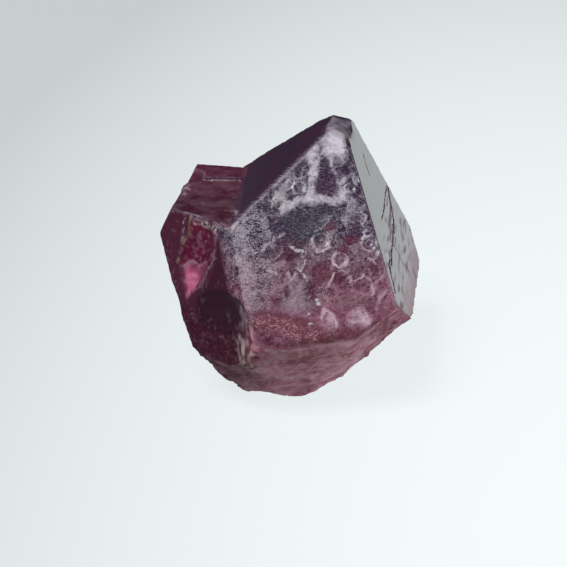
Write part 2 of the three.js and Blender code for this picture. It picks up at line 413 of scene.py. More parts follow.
# etching on the front
etching = {
    "netSize": 0.52,
    "fineNetSize": 0.26,
    "lobeSize": 1.0,
    "ridgeLift": 0.005,
    "grainLift": 0.0035,
    "wander": 0.15,
    "sunk": 0.03,            # mm that the face gives way, so that pale shells stand out on it
    "glintLift": 0.03,
    "ringLift": 0.03,
    "spotDepth": 0.02,
    "haze": {"even": 0.02, "cloud": 0.08, "grain": 0.04, "net": 0.10, "fineNet": 0.06,
             "lobeRidge": 0.12, "lobeBody": 0.06, "canvas": 0.10, "canvasWeave": 0.03,
             "canvasPatches": 0.14, "upperRimShade": -0.5, "lowerRim": 0.16},
    "windowShare": 3.2,      # how soon a dark spot is clear glass, and how much sooner low down
    "lowWindowShare": 2.0,
}
paleBands = [       # path across and up the front face, half width, paleness, lift
    # the first two bands, at the apex, are a painted highlight over the frost
    ([(2.06, 6.6), (1.95, 6.0)], 0.38, 0.80, 0.01),
    ([(1.95, 6.0), (1.8, 5.45)], 0.66, 0.62, 0.01),
    ([(1.95, 5.2), (1.9, 4.95)], 0.55, 0.26, 0.01),
    ([(0.57, 5.45), (0.68, 4.82), (0.60, 4.02)], 0.25, 0.52, 0.02),
    ([(0.60, 4.02), (0.50, 3.0), (0.3, 2.6)], 0.20, 0.46, 0.02),
    ([(1.58, 4.79), (1.70, 4.22), (1.98, 3.53), (2.15, 2.84)], 0.05, 0.22, 0.01),
    ([(2.11, 3.29), (2.35, 3.68), (2.69, 3.84), (2.99, 3.27)], 0.10, 0.36, 0.02),
    ([(-1.58, 2.9), (-1.12, 2.56), (-0.7, 2.24)], 0.16, 0.24, 0.01),
    ([(-1.1, 1.87), (-0.53, 2.3), (0.03, 2.51), (0.85, 2.48), (1.66, 2.33), (2.2, 2.55)], 0.22, 0.46, 0.03),
    ([(2.4, 2.66), (2.65, 2.09), (2.16, 1.25)], 0.22, 0.22, 0.01),
    ([(-2.74, -0.39), (-2.01, 0.09), (-1.22, 0.63)], 0.06, 0.28, 0.01),
    ([(0.48, -0.38), (0.92, -0.45), (1.26, -0.24)], 0.06, 0.50, 0.02),
    ([(1.43, -1.2), (1.75, -1.32), (2.14, -1.11)], 0.06, 0.45, 0.02),
    ([(1.19, -2.48), (1.4, -1.76), (1.9, -1.55), (2.26, -1.9), (2.45, -2.47)], 0.06, 0.30, 0.03),
    ([(0.5, -4.19), (0.8, -3.69), (1.22, -3.99), (1.46, -4.66)], 0.09, 0.45, 0.04),
    ([(0.9, -4.3), (1.15, -4.6)], 0.45, 0.34, 0.03),
    ([(2.24, -4.24), (2.7, -3.93), (3.05, -4.38)], 0.30, 0.40, 0.04),
    ([(2.3, -4.5), (2.9, -4.5)], 0.35, 0.20, 0.0),
    ([(-0.8, -3.5), (-0.5, -3.9)], 0.45, 0.10, 0.02),
    ([(-1.11, -1.56), (-0.91, -2.02), (-0.68, -1.8)], 0.07, 0.40, 0.02),
    ([(-0.8, -2.3), (-0.5, -2.7)], 0.40, 0.12, 0.0),
    ([(2.09, 6.95), (0.91, 5.67), (-0.82, 4.07), (-2.32, 2.75), (-3.4, 1.88), (-4.1, 1.0)], 0.14, 0.30, 0.0),
    ([(-3.8, 0.9), (-3.6, -0.6), (-3.3, -2.0), (-3.1, -3.4)], 0.40, 0.12, 0.0),
    ([(3.07, 1.68), (3.3, 1.4), (3.2, 1.0)], 0.06, 0.35, 0.02),
    ([(3.4, 0.7), (3.1, 0.5), (3.4, 0.2)], 0.06, 0.30, 0.02),
    ([(3.75, -0.9), (3.45, -1.0), (3.7, -1.3)], 0.06, 0.35, 0.02),
    ([(4.1, -2.0), (3.7, -2.3), (3.5, -3.0)], 0.06, 0.25, 0.02),
    ([(4.3, -2.8), (3.9, -3.1), (3.6, -3.8)], 0.07, 0.25, 0.02),
    ([(2.6, -2.2), (3.1, -1.9), (3.5, -2.3), (3.5, -3.0)], 0.06, 0.22, 0.03),
]
paleRings = [       # middle, radius, half width of the rim, paleness
    ((0.83, 0.06), 0.46, 0.07, 0.30),
    ((1.82, -0.99), 0.40, 0.07, 0.32),
    ((3.46, -0.09), 0.42, 0.07, 0.32),
    ((3.46, -0.09), 0.18, 0.05, 0.22),
    ((-0.21, 3.14), 0.34, 0.06, 0.24),
    ((2.54, 3.05), 0.26, 0.05, 0.20),
]
darkSpots = [       # middle, half width, half height, darkness, redness
    ((1.36, 3.35), 0.60, 0.60, 0.60, 0.08),
    ((1.33, 4.45), 0.20, 0.36, 0.50, 0.0),
    ((1.98, 4.6), 0.20, 0.22, 0.55, 0.0),
    ((2.42, 4.05), 0.34, 0.34, 0.32, 0.0),
    ((2.54, 3.05), 0.16, 0.2, 0.22, 0.0),
    ((-0.14, 4.56), 0.30, 0.22, 0.24, 0.0),
    ((-0.38, 4.1), 0.30, 0.26, 0.28, 0.0),
    ((-0.9, 3.73), 0.30, 0.26, 0.26, 0.0),
    ((-0.75, 3.1), 0.28, 0.34, 0.22, 0.0),
    ((-0.13, 2.72), 0.26, 0.16, 0.24, 0.0),
    ((-2.18, 2.24), 0.34, 0.18, 0.28, 0.0),
    ((-1.76, 2.85), 0.26, 0.18, 0.26, 0.0),
    ((-1.69, 1.09), 0.36, 0.36, 0.36, 0.0),
    ((0.93, 1.75), 0.55, 0.34, 0.36, 0.0),
    ((-0.6, 1.15), 1.0, 0.7, 0.30, 0.0),
    ((0.2, 0.85), 0.9, 0.55, 0.30, 0.0),
    ((-0.8, 0.15), 0.8, 0.4, 0.26, 0.0),
    ((-1.4, -0.55), 0.9, 0.4, 0.26, 0.0),
    ((2.79, 0.67), 0.34, 0.42, 0.30, 0.05),
    ((3.65, -1.5), 0.26, 0.22, 0.32, 0.05),
    ((1.60, -1.95), 0.34, 0.34, 0.36, 0.0),
    ((0.74, -1.75), 0.42, 0.58, 0.30, 0.55),
    ((0.30, -2.65), 0.10, 0.40, 0.40, 0.7),
    ((1.38, 0.94), 0.26, 0.26, 0.30, 0.6),
    ((2.37, 0.12), 0.40, 0.28, 0.26, 0.55),
    ((1.96, -0.43), 0.30, 0.2, 0.2, 0.5),
    ((-0.35, -1.75), 0.2, 0.3, 0.40, 0.0),
    ((-1.16, -2.57), 0.2, 0.26, 0.30, 0.2),
    ((-1.74, -3.22), 0.24, 0.24, 0.26, 0.3),
    ((-1.60, -2.72), 0.24, 0.2, 0.0, 0.25),
    ((-2.0, -4.05), 0.9, 0.25, 0.3, 0.7),
    ((-0.6, -4.4), 0.6, 0.22, 0.3, 0.7),
    ((2.7, 3.9), 0.2, 0.16, 0.2, 0.0),
]
glints = [          # path and half width of the small raised facets, painted with highlights
    ([(-0.55, -1.36), (-0.3, -1.7), (-0.1, -2.1)], 0.07),
    ([(0.40, -3.18), (0.46, -3.38)], 0.11),
    ([(-0.05, -3.94)], 0.08),
    ([(-0.08, -4.48), (0.06, -4.5)], 0.08),
    ([(-2.46, -1.24), (-2.14, -1.47), (-1.82, -1.6)], 0.06),
    ([(-0.93, -0.11), (-0.56, -0.35), (-0.23, -0.42)], 0.08),
    ([(-3.5, -4.74), (-3.2, -4.74)], 0.05),
]

frontOut, frontDepth = flats["front"]
across, up = axesOn(frontOut)
onFace = np.stack([places @ across, places @ up], 1)
wander = noisesAt(places, 0.5, (1, 2)) * etching["wander"]
wander += noisesAt(places, 0.2, (3, 4)) * etching["wander"] * 0.5
spot = onFace + wander
spot3 = np.concatenate([spot, np.zeros((len(spot), 1))], 1)

near, beyond = ridgesAt(spot3, etching["netSize"], 1)
net = ease(0.26, 0.04, beyond - near)
near, beyond = ridgesAt(spot3, etching["fineNetSize"], 5)
fineNet = ease(0.30, 0.04, beyond - near)
near, beyond = ridgesAt(spot3, etching["lobeSize"], 2)
lobeRidge = ease(0.20, 0.02, beyond - near)
lobeBody = np.clip(1 - near, 0, 1)
grain = noiseAt(places, 0.13, 5) + 0.6 * noiseAt(places, 0.07, 6)
cloud = noiseAt(places, 1.1, 7) + 0.5 * noiseAt(places, 0.45, 8)
height = onFace[:, 1]
upper = ease(-1.5, 1.5, height)

paleness = np.zeros(len(places))
lift = np.zeros(len(places))
for path, width, pale, raised in paleBands:
    mask = brush(spot, path, width)
    paleness += pale * mask
    lift += raised * mask
for ringMiddle, radius, width, pale in paleRings:
    away = np.linalg.norm(onFace + wander * 0.35 - np.array(ringMiddle), axis=1)
    mask = np.exp(-((away - radius) / width) ** 2)
    paleness += pale * mask
    lift += etching["ringLift"] * mask - etching["ringLift"] * ease(radius, radius * 0.4, away)
darkness = np.zeros(len(places))
redness = np.zeros(len(places))
for darkMiddle, wide, tall, dark, red in darkSpots:
    mask = oval(spot, darkMiddle, 1.1 * wide, 1.1 * tall, 0.22)
    darkness += dark * mask
    redness += red * mask
    lift -= etching["spotDepth"] * dark * mask
# painted highlights on the small facets of the front
glint = np.zeros(len(places))
for path, width in glints:
    glint = np.maximum(glint, brush(onFace + wander * 0.3, path, width, 0.4))

haze = etching["haze"]
canvas = oval(spot, (-3.15, -0.4), 1.35, 3.6, 0.35)      # the even, closely pitted part on the left
weave = noiseAt(places * (1, 1, 3), 0.16, 41) + noiseAt(places * (2.4, 1, 1), 0.16, 42)
paleness *= np.clip(0.86 + 0.5 * grain + 0.5 * noiseAt(places, 0.3, 48), 0.2, 1.3)
frost = haze["even"] + haze["cloud"] * cloud + haze["grain"] * grain
canvasFrost = haze["canvas"] + haze["canvasWeave"] * weave + haze["canvasPatches"] * noiseAt(places, 0.42, 47)
frost += canvas * canvasFrost
frost += haze["net"] * net * (0.2 + 0.8 * upper) * (1 - 0.7 * canvas) * (1 + cloud)
frost += haze["fineNet"] * fineNet * (1 - 0.6 * canvas)
frost += (haze["lobeRidge"] * lobeRidge + haze["lobeBody"] * (lobeBody - 0.5)) * (1 - upper)
bevel = ease(0.992, 0.965, softNormals @ frontOut) * front * upper
windowShare = etching["windowShare"] + etching["lowWindowShare"] * (1 - upper)
windows = np.clip(windowShare * darkness, 0, 1) * (1 - 0.5 * bevel)
frost = np.clip(frost, 0, 1) * (1 - windows) + paleness * (1 - 0.5 * windows)
# along the rim by the right face: a painted shade line on the upper part, more frost on the lower part
rim = ease(0.20, 0.08, flats["right"][1] - places @ flats["right"][0])
frost += rim * np.where(height > 0, haze["upperRimShade"], haze["lowerRim"] * ease(-0.5, -1.8, height))
frost = np.clip(frost, 0, 1)
relief = etching["ridgeLift"] * (net * upper - 0.5 + (lobeBody * 1.4 - 0.8 * lobeRidge) * (1 - upper))
relief += etching["ridgeLift"] * 0.4 * fineNet + etching["grainLift"] * grain
relief = relief * (1 - 0.95 * windows) + lift - etching["sunk"]
relief += etching["glintLift"] * glint * noiseAt(places, 0.1, 9)
relief *= front
print("front etched")


# broken base and glassy breaks
breaking = {
    "lumpSize": 1.5,
    "lumpLift": 0.12,
    "layerPitch": 0.42,
    "layerLift": 0.022,
    "grainLift": 0.02,
    "bandSize": 0.34,
    "bandLift": 0.07,
    "chipDepth": 0.04,
    "crumbLift": 0.16,
    "rippleLift": 0.006,
    "flankLift": 0.003,
    "faceLift": 0.0004,      # of the smooth growth faces
    "ridgeWear": 0.05,
}
redBand = [(-2.7, -7.6, -0.1), (-2.0, -7.9, 0.15), (-1.0, -7.9, 0.1), (-0.1, -8.1, -0.3), (0.7, -8.2, -0.6),
           (1.5, -8.1, -0.7), (2.3, -8.0, -0.7), (3.1, -7.5, -0.7), (3.8, -6.4, -1.1), (4.5, -5.0, -1.4),
           (5.4, -3.6, -1.4), (6.3, -1.7, -1.8)]
thumbMarks = {      # across and up the flank, in mm
    "hollow": [(-1.85, 2.32), (-1.04, 2.26), (0.24, 1.87), (0.47, 0.39), (-0.14, -1.10), (-0.96, -1.97),
               (-1.96, -0.47), (-2.05, 0.95)],
    "night": [(0.5, 1.83), (1.41, 1.34), (2.22, -0.13), (3.16, -0.99), (3.02, -2.15), (2.11, -3.27),
              (0.95, -3.33), (-0.07, -3.19), (-0.23, -1.98), (0.64, -0.13)],
    "triangle": [(-1.96, -0.40), (-0.9, -0.25), (-0.25, 0.1), (-0.2, -0.7), (-0.96, -1.97)],
    "moss": [(-2.0, 2.2), (-1.95, 1.3), (-2.22, 0.32), (-2.25, -0.35)],
    "rim": [(-2.05, 2.3), (-1.04, 2.3), (0.24, 1.9), (0.47, 0.39), (-0.14, -1.10), (-0.96, -1.97)],
    "top": [(-1.6, 2.1), (-0.9, 2.12), (-0.27, 2.2), (0.3, 2.15)],
    "edge": [(-2.5, 1.97), (-2.33, 1.21), (-2.28, 0.5)],
    "curve": [(-1.96, -0.47), (-1.4, -0.12), (-0.86, -0.2), (-0.25, 0.2), (0.3, 0.5)],
}
cleftPath = [(-3.2, -6.9, -1.4), (-3.1, -7.1, -2.1), (-2.8, -7.1, -3.0)]
seamPath = [(-3.0, -7.3, 0.6), (-2.9, -7.4, -0.6), (-2.8, -7.5, -1.9), (-2.6, -7.5, -2.8)]
basePatches = [     # path in mm from the middle, half width, colour, its share, how much paler
    ([(-2.3, -7.4, -2.7), (-1.7, -7.1, -3.05), (-1.1, -6.7, -3.5)], 0.42, "rose", 0.4, 0.30),
    ([(0.1, -7.5, -2.2), (0.9, -7.5, -2.0), (1.5, -6.6, -2.9)], 0.55, "umber", 0.5, -0.14),
    ([(0.4, -6.3, -3.6), (1.5, -5.7, -3.8)], 0.06, "night", 0.8, -0.50),
    ([(-1.6, -8.2, -1.5), (-0.3, -8.2, -1.6)], 0.30, "clay", 0.6, -0.08),
    ([(2.0, -7.0, -2.3), (2.7, -7.0, -2.3)], 0.12, "rose", 0.2, 0.50),
    ([(2.2, -7.95, -0.45), (2.9, -7.9, -0.5), (3.5, -7.6, -0.4)], 0.12, "crimson", 0.9, -0.40),
    ([(1.2, -8.15, -0.8), (2.6, -7.95, -0.75)], 0.12, "crimson", 0.9, -0.40),
    ([(2.8, -7.8, -1.1), (3.6, -6.5, -1.7), (4.1, -5.2, -2.3)], 0.55, "rose", 0.5, 0.16),
    ([(-0.8, -5.9, -4.0), (0.0, -5.6, -4.2)], 0.35, "clay", 0.8, 0.04),
    ([(-3.1, -7.1, -1.1), (-2.8, -7.6, -1.35)], 0.16, "clay", 0.3, 0.20),
]
paleEdge = [(1.6, -5.0, -4.4), (2.3, -5.1, -3.95), (3.0, -5.7, -3.1), (3.5, -6.0, -2.5), (4.3, -5.3, -2.0)]
blockFoot = [(-6.0, 3.6, 4.25), (-3.3, 3.8, 4.3)]
ledgeGlintPath = [(-4.7, 2.9, 4.2), (-4.1, 3.0, 4.2), (-3.4, 3.0, 4.2)]
ledgeCrumbs = [(-6.25, 2.3, 4.21), (-6.35, 1.7, 4.23), (-6.45, 1.2, 4.25)]
ledgeRim = [(-6.9, -1.5, 4.25), (-6.0, -2.3, 4.37), (-5.1, -3.2, 4.4), (-4.4, -4.2, 4.42), (-3.85, -5.0, 4.3)]

flankOut = flats["flank"][0]
flankAcross, flankUp = axesOn(flankOut)
onFlank = np.stack([places @ flankAcross, places @ flankUp], 1) + wander * 0.5
leftSide = ease(0.1, 0.4, softNormals @ flankOut) * (1 - front) * (1 - zones["left"])
leftSide *= ease(3.9, 3.3, onFlank[:, 0] + 0.25 * wander[:, 1])
leftSide *= ease(-6.4, -5.9, onFlank[:, 1] - 0.35 * onFlank[:, 0])
leftSide *= ease(-0.5, -0.25, softNormals[:, 2])
leftSide *= ease(4.55, 4.2, places[:, 2] + 0.05 * places[:, 1])
base = (1 - front) * (1 - growth) * (1 - leftSide) * ease(1.2, 0.4, places[:, 2])
lump = noiseAt(places, breaking["lumpSize"], 11) + 0.5 * noiseAt(places, 0.7, 12)
layerWave = (places[:, 2] - 0.55 * np.clip(places[:, 0] - 0.5, 0, 9)) / breaking["layerPitch"]
layers = np.abs(((layerWave + 1.6 * noiseAt(places, 1.4, 13)) % 1) - 0.5) * 2
chips, chips2 = ridgesAt(places + 0.2 * noiseAt(places, 0.6, 14)[:, None], 0.75, 3)
crumb = noiseAt(places, 0.28, 15)
rough = breaking["lumpLift"] * (lump - 0.4) + breaking["layerLift"] * (layers - 0.8)
rough += breaking["grainLift"] * (crumb - 0.4) - breaking["chipDepth"] * ease(0.12, 0.0, chips2 - chips)
foot = brush(places, blockFoot, 0.45)
crumbHeight = breaking["crumbLift"] * np.clip(0.4 + 2 * noiseAt(places, 0.3, 50), 0, 1)
relief += crumbHeight * brush(places, ledgeCrumbs, 0.28)
relief += rough * broken * calm * (1 - 0.92 * leftSide) * (1 - foot)

wandered = places + noisesAt(places, 0.35, (20, 21, 22)) * 0.3
bandMask = brush(wandered, redBand, 0.42)
relief += breaking["bandLift"] * (ridgesAt(wandered, breaking["bandSize"], 4)[0] - 0.6) * bandMask

fromBlow = np.linalg.norm(places - flankOut * 7.6 - (1.2, 0.8, 2.2), axis=1)     # where the ripples spread from
ripple = np.sin(fromBlow * 9 + 2 * noiseAt(places, 1.0, 16))
flank = anyOf("flank", "lowLeft")
relief += breaking["rippleLift"] * (ripple - 1) * (leftSide * (1 - flank) + 0.2 * flank)
relief += breaking["flankLift"] * (noiseAt(places, 0.6, 17) - 0.4) * flank
relief += breaking["faceLift"] * (noiseAt(places, 1.2, 18) - 0.4) * smooth * (1 - zones["left"])

onRight, belowRight = onRightFace(places)
cracked = ease(0.5, 0.3, np.abs(belowRight)) * ease(0.2, 0.5, softNormals @ flats["right"][0])
for mask, crackDepth in crackMasks(places):
    relief -= crackDepth * mask * cracked
ridge = ease(0.012, 0.05, convex)
relief -= breaking["ridgeWear"] * ridge * np.clip(0.5 + 1.6 * noiseAt(places, 0.3, 19), 0, 1)
print("breaks roughened, relief", round(float(relief.min()), 3), round(float(relief.max()), 3))

movePoints(crystal, places + softNormals * relief[:, None], *cadBox)     # never past the solid's own box
pickOnly(crystal)
bpy.ops.object.shade_smooth_by_angle(angle=math.radians(crystalForm["smoothAngle"]), keep_sharp_edges=False)


# crystal: its colours and finish
glass = {        # linear colours of the clear glass and of what lies on it
    "deep": (0.041, 0.015, 0.056),
    "deepWarm": (0.120, 0.009, 0.042),
    "night": (0.050, 0.003, 0.018),
    "crimson": (0.210, 0.012, 0.052),
    "wine": (0.150, 0.010, 0.036),
    "rose": (0.580, 0.115, 0.215),
    "clay": (0.340, 0.110, 0.130),
    # colour of the painted pink glow
    "paintedPinkGlow": (0.770, 0.195, 0.365),
    "frostCool": (0.87, 0.80, 0.925),
    "slate": (0.031, 0.027, 0.056),
    "frostWarm": (0.88, 0.44, 0.60),
    "chalk": (1.00, 0.60, 0.71),
    "earth": (0.64, 0.52, 0.48),
    "umber": (0.240, 0.090, 0.105),
    "moss": (0.30, 0.20, 0.14),
    # colour of the painted glints
    "spark": (0.95, 0.86, 0.90),
    "transmission": 0.30,
    "ior": 1.72,
    "specularLevel": 0.3,
    "absorb": (0.75, 0.15, 0.35, 1),
    "absorbDensity": 150,
}
finishing = {
    "tipFrostAndReflection": 0.29,        # how white each part is, from 0 to 1
    "tipPatches": 0.35,
    "baseFrost": 0.42,
    "baseCloud": 0.32,
    "baseCrumb": 0.26,
    "baseLayers": 0.10,
    "baseRed": -0.2,
    "fuzzReach": 1.3,        # mm that the fringe of fine hairs reaches over the left face
    "leftGloss": 0.8,
}

# masks of the left side
# where painted glints break into small bright dots
sparkle = ease(0.18, 0.34, noiseAt(places, 0.16, 30)) + 0.6 * ease(0.2, 0.34, noiseAt(places, 0.09, 31))
flankSpot = onFlank + wander * 0.4
thumbHollow = within(flankSpot, thumbMarks["hollow"], 0.10) * leftSide
nightFacet = within(flankSpot, thumbMarks["night"], 0.08) * leftSide
# a painted glow in the pink triangle, standing in for light coming through a thin chip
paintedPinkGlow = within(flankSpot + 0.12 * np.stack([crumb, -crumb], 1), thumbMarks["triangle"], 0.22) * leftSide
paintedPinkGlow *= (0.25 + 0.75 * ease(-0.1, -1.0, onFlank[:, 0])) * (0.45 + 0.55 * ease(-0.2, -0.8, onFlank[:, 1]))
# painted glints along the hollow's top ridge and along its left edge
paintedTopGlints = brush(onFlank, thumbMarks["top"], 0.2) * leftSide
paintedEdgeGlints = brush(onFlank, thumbMarks["edge"], 0.10) * leftSide
moss = brush(flankSpot, thumbMarks["moss"], 0.09) * leftSide * np.clip(0.6 + 1.5 * crumb, 0, 1)
rimLine = brush(flankSpot, thumbMarks["rim"], 0.05) * leftSide
curveLine = brush(flankSpot, thumbMarks["curve"], 0.05) * leftSide
lowFlank = ease(-2.2, -3.4, onFlank[:, 1]) * leftSide
cleft = brush(wandered, cleftPath, 0.30)
seam = brush(wandered, seamPath, 0.45)
seamLow = seam * ease(-0.9, -1.9, places[:, 2])
streaky = noiseAt(places * (1, 1, 0.35), 0.22, 44)
seamStreaks = np.clip(0.30 + 1.8 * streaky, 0, 0.85)
ledgeTop = anyOf("ledge", "ledgeLow")
nearly = places + 0.3 * (wandered - places)
# a painted highlight along the step on the ledge
paintedLedgeGlint = brush(nearly, ledgeGlintPath, 0.05)
rimLedge = brush(nearly, ledgeRim, 0.07)
crumbs = brush(places, ledgeCrumbs, 0.30) * ease(0.0, 0.35, noiseAt(places, 0.22, 50))

# masks of the tip and of the fringe on the left face
belowFront, toFront = frontDepth - places @ frontOut, softNormals @ frontOut
# frost on the worn tip, partly a painted reflection of the pale light it mirrors
tipTop = ease(2.2, 1.6, np.linalg.norm(places - (2.6, -0.5, 8.6), axis=1)) * (1 - front)
tipTop *= ease(0.99, 0.95, np.max([softNormals @ flats[n][0] for n in ("right", "left", "backTop")], axis=0))
leftOut = flats["left"][0]
fuzz = ease(finishing["fuzzReach"], 0.0, belowFront)
fuzz *= ease(0.3, 0.6, softNormals @ leftOut) * ease(3.9, 4.5, places[:, 2])
ridgeRun = np.cross(frontOut, leftOut)
alongRidge = places @ ridgeRun / np.linalg.norm(ridgeRun)

# masks of the base and of the right face
blockEnd = brush(places, [(-5.9, 5.2, 4.2)], 0.9)
rougher = np.clip(broken * (1 - leftSide) + base, 0, 1) * (1 - tipTop) * (1 - foot) * (1 - 0.8 * blockEnd)
rougher *= 1 - 0.75 * ease(0.30, 0.50, soften(crystal, growth, 8))
belowBand = ease(-5.2, -5.6, height + 0.25 * onFace[:, 0] + 0.3 * crumb) * front
lowLeft = ease(-2.0, -2.8, places[:, 2]) * ease(-1.6, -3.2, places[:, 0]) * rougher
# painted fill light: the rounded lip under the front is made paler and rosier where it faces neither the
# softbox nor the table
lip = ease(0.75, 0.50, toFront) * ease(0.0, 0.2, toFront) * ease(0.9, 0.5, np.abs(belowFront))
lip *= ease(-4.0, -4.6, height) * ease(4.8, 4.2, places[:, 0])
edgeOfBase = ease(0.6, -0.4, height + 3.6) * front + ease(-2.6, -4.0, places[:, 2]) * leftSide
redRight = base * ease(1.8, 4.2, places[:, 0]) * ease(0.8, -0.4, places[:, 2])
underBand = base * ease(1.9, 0.8, belowFront + 0.4 * crumb) * ease(5.0, 3.6, places[:, 0])
lowerHaze = ease(-1.0, -3.4, onRight[:, 1] + 0.5 * cloud) * zones["right"]
rightHaze = within(onRight + 0.3 * cloud[:, None], shedOutline, 0.3) * ease(0.5, 0.3, np.abs(belowRight))
lowOnRight = zones["right"] * ease(1.5, -2.0, onRight[:, 1])
streaksRight = noiseAt(np.stack([onRight[:, 0] / 4, onRight[:, 1] * 1.2, belowRight], 1), 0.35, 49)
hazyRight = zones["right"] * ease(3.0, 0.5, onRight[:, 1]) * ease(-2.8, -1.8, onRight[:, 1])
hazyRight *= np.clip(0.28 + 1.2 * streaksRight, 0, 0.8)

# warmer towards the bottom of the front and the breaks: partly the glass's own colour, partly painted light
# from the table coming through
warm = np.clip(ease(1.5, -3.5, height) + 0.25 * cloud, 0, 1) * np.clip(front + broken, 0, 1)
warm *= (1 - 0.5 * canvas) * (1 - 0.5 * oval(spot, (-0.7, -2.9), 1.1, 1.0, 0.5))
warm += ledgeTop * 0.9 + leftSide * 0.8 + zones["leftStrip"] * 0.7
warm += zones["left"] * np.clip(0.15 + 0.3 * cloud, 0, 0.5)
warm = np.clip(warm, 0, 1)
farFaces = anyOf("right", "rightShed", "backTop", "backShed", "lowerBack")

tintLayers = [       # colour of the glass, its share and where
    ("slate", 1.0, oval(spot, (0.1, 1.1), 1.5, 1.3, 0.4)),
    ("deepWarm", 1.0, warm),
    ("rose", 1.0, rougher * (0.75 + 0.3 * cloud)),
    ("clay", 0.7, rougher * ease(0.0, 0.4, noiseAt(places, 1.3, 46) + 0.5 * crumb)),
    ("deepWarm", 0.6, lowLeft),
    # rosier lip: painted fill light
    ("rose", 0.6, lip),
    ("crimson", 1.0, redRight * (0.4 + 0.6 * ease(0.3, 0.7, layers))),
    ("crimson", 0.3, underBand),
    ("wine", 1.0, 0.85 * redness * front + 0.9 * bandMask),
    # the hollow's crimson is partly its own colour and partly a painted inner glow
    ("crimson", 1.0, thumbHollow * np.clip(0.14 + 0.7 * cloud, 0, 1) + 0.06 * lowFlank),
    ("deepWarm", 0.6, seam),
    ("night", 1.0, 0.3 * leftSide * (1 - thumbHollow) + 0.45 * ledgeTop * ease(2.0, -0.5, places[:, 1])),
    ("night", 1.0, nightFacet + 0.6 * lowFlank + 0.9 * seam * ease(0.0, 0.15, streaky)),
    ("paintedPinkGlow", 1.0, paintedPinkGlow * (0.8 + 0.6 * noiseAt(places, 0.3, 34))),
    ("moss", 1.0, moss),
    ("deepWarm", 1.0, (0.55 + 0.4 * cloud) * farFaces),
    ("rose", 1.0, 0.2 * rightHaze + 0.6 * lowerHaze),
]
veilLayers = [       # colour of the frost, its share and where
    ("frostWarm", 1.0, np.maximum(warm * (1 - leftSide), rougher)),
    ("chalk", 1.0, rougher),
    ("frostCool", 0.5, ease(0.08, 0.36, paleness) * front),
    ("earth", 0.3, bandMask),
    # painted pink glow on the triangle and the hollow, fainter on the low flank
    ("paintedPinkGlow", 1.0, 0.4 * (paintedPinkGlow + thumbHollow) + 0.3 * lowFlank),
    ("frostWarm", 0.9, lowOnRight),
    ("earth", 1.0, cleft + 0.9 * seamLow),
    # painted glints on the top ridge and the left edge of the hollow
    ("spark", 1.0, paintedTopGlints + paintedEdgeGlints),
]
baseFrost = finishing["baseFrost"] + finishing["baseCloud"] * cloud + finishing["baseCrumb"] * crumb
baseFrost += finishing["baseLayers"] * (layers - 0.5) + finishing["baseRed"] * redRight
frostLayers = [      # how much frost and where
    (1.0, frost * front * (1 - bandMask)),
    (1.0, tipTop * (finishing["tipFrostAndReflection"] + finishing["tipPatches"] * noiseAt(places, 0.35, 45))),
    (1.0, rougher * np.clip(baseFrost, 0, 1) * (1 - seam)),
    (0.35, brush(wandered, paleEdge, 0.3) * base),
    # paler lip: painted fill light
    (0.22, lip * np.clip(0.8 + cloud, 0, 1)),
    (-1.0, underBand * np.clip(0.10 + 0.3 * crumb, 0, 1)),
    (0.4, seam * seamStreaks),
    (1.1, seamLow * seamStreaks),
    (0.48, cleft * (1 + 3 * streaky)),
    (0.02, leftSide),
    (0.6, paintedTopGlints * sparkle),
    (0.5, paintedEdgeGlints * sparkle),
    (0.25, curveLine),
    (0.2, rimLine),
    (0.35, paintedPinkGlow * sparkle),
    (0.14, hazyRight),
    (0.08, lowOnRight),
    (0.10, rightHaze),
    (0.2, lowerHaze),
    (0.04, zones["right"] * (1 + cloud)),
    # faint frost on the left face: a painted reflection that lifts it
    (0.04, zones["left"]),
    (1.0, ledgeTop * np.clip(0.05 + 0.10 * cloud, 0, 1)),
    (0.16, paintedLedgeGlint * sparkle),
    (0.45, crumbs),
    (0.30, rimLedge * np.clip(0.5 + 2 * crumb, 0, 1)),
    (0.12, ridge * (1 - growth)),
]
for path, halfWidth, colour, share, paler in basePatches:
    patch = brush(wandered, path, halfWidth, 0.8) * np.maximum(base, lip)
    tintLayers.append((colour, share, patch))
    frostLayers.append((paler, patch))


def layered(ground, colourLayers):
    colours = np.tile(glass[ground], (len(places), 1))
    for name, share, where in colourLayers:
        colours += (np.array(glass[name]) - colours) * np.clip(share * where, 0, 1)[:, None]
    return colours


calmTip = oval(spot, (1.95, 6.1), 0.9, 1.0, 0.4)
lines = front * (0.50 + 0.40 * upper) * (1 - 0.6 * canvas) * (1 - 0.7 * calmTip) * (1 - 0.9 * windows)
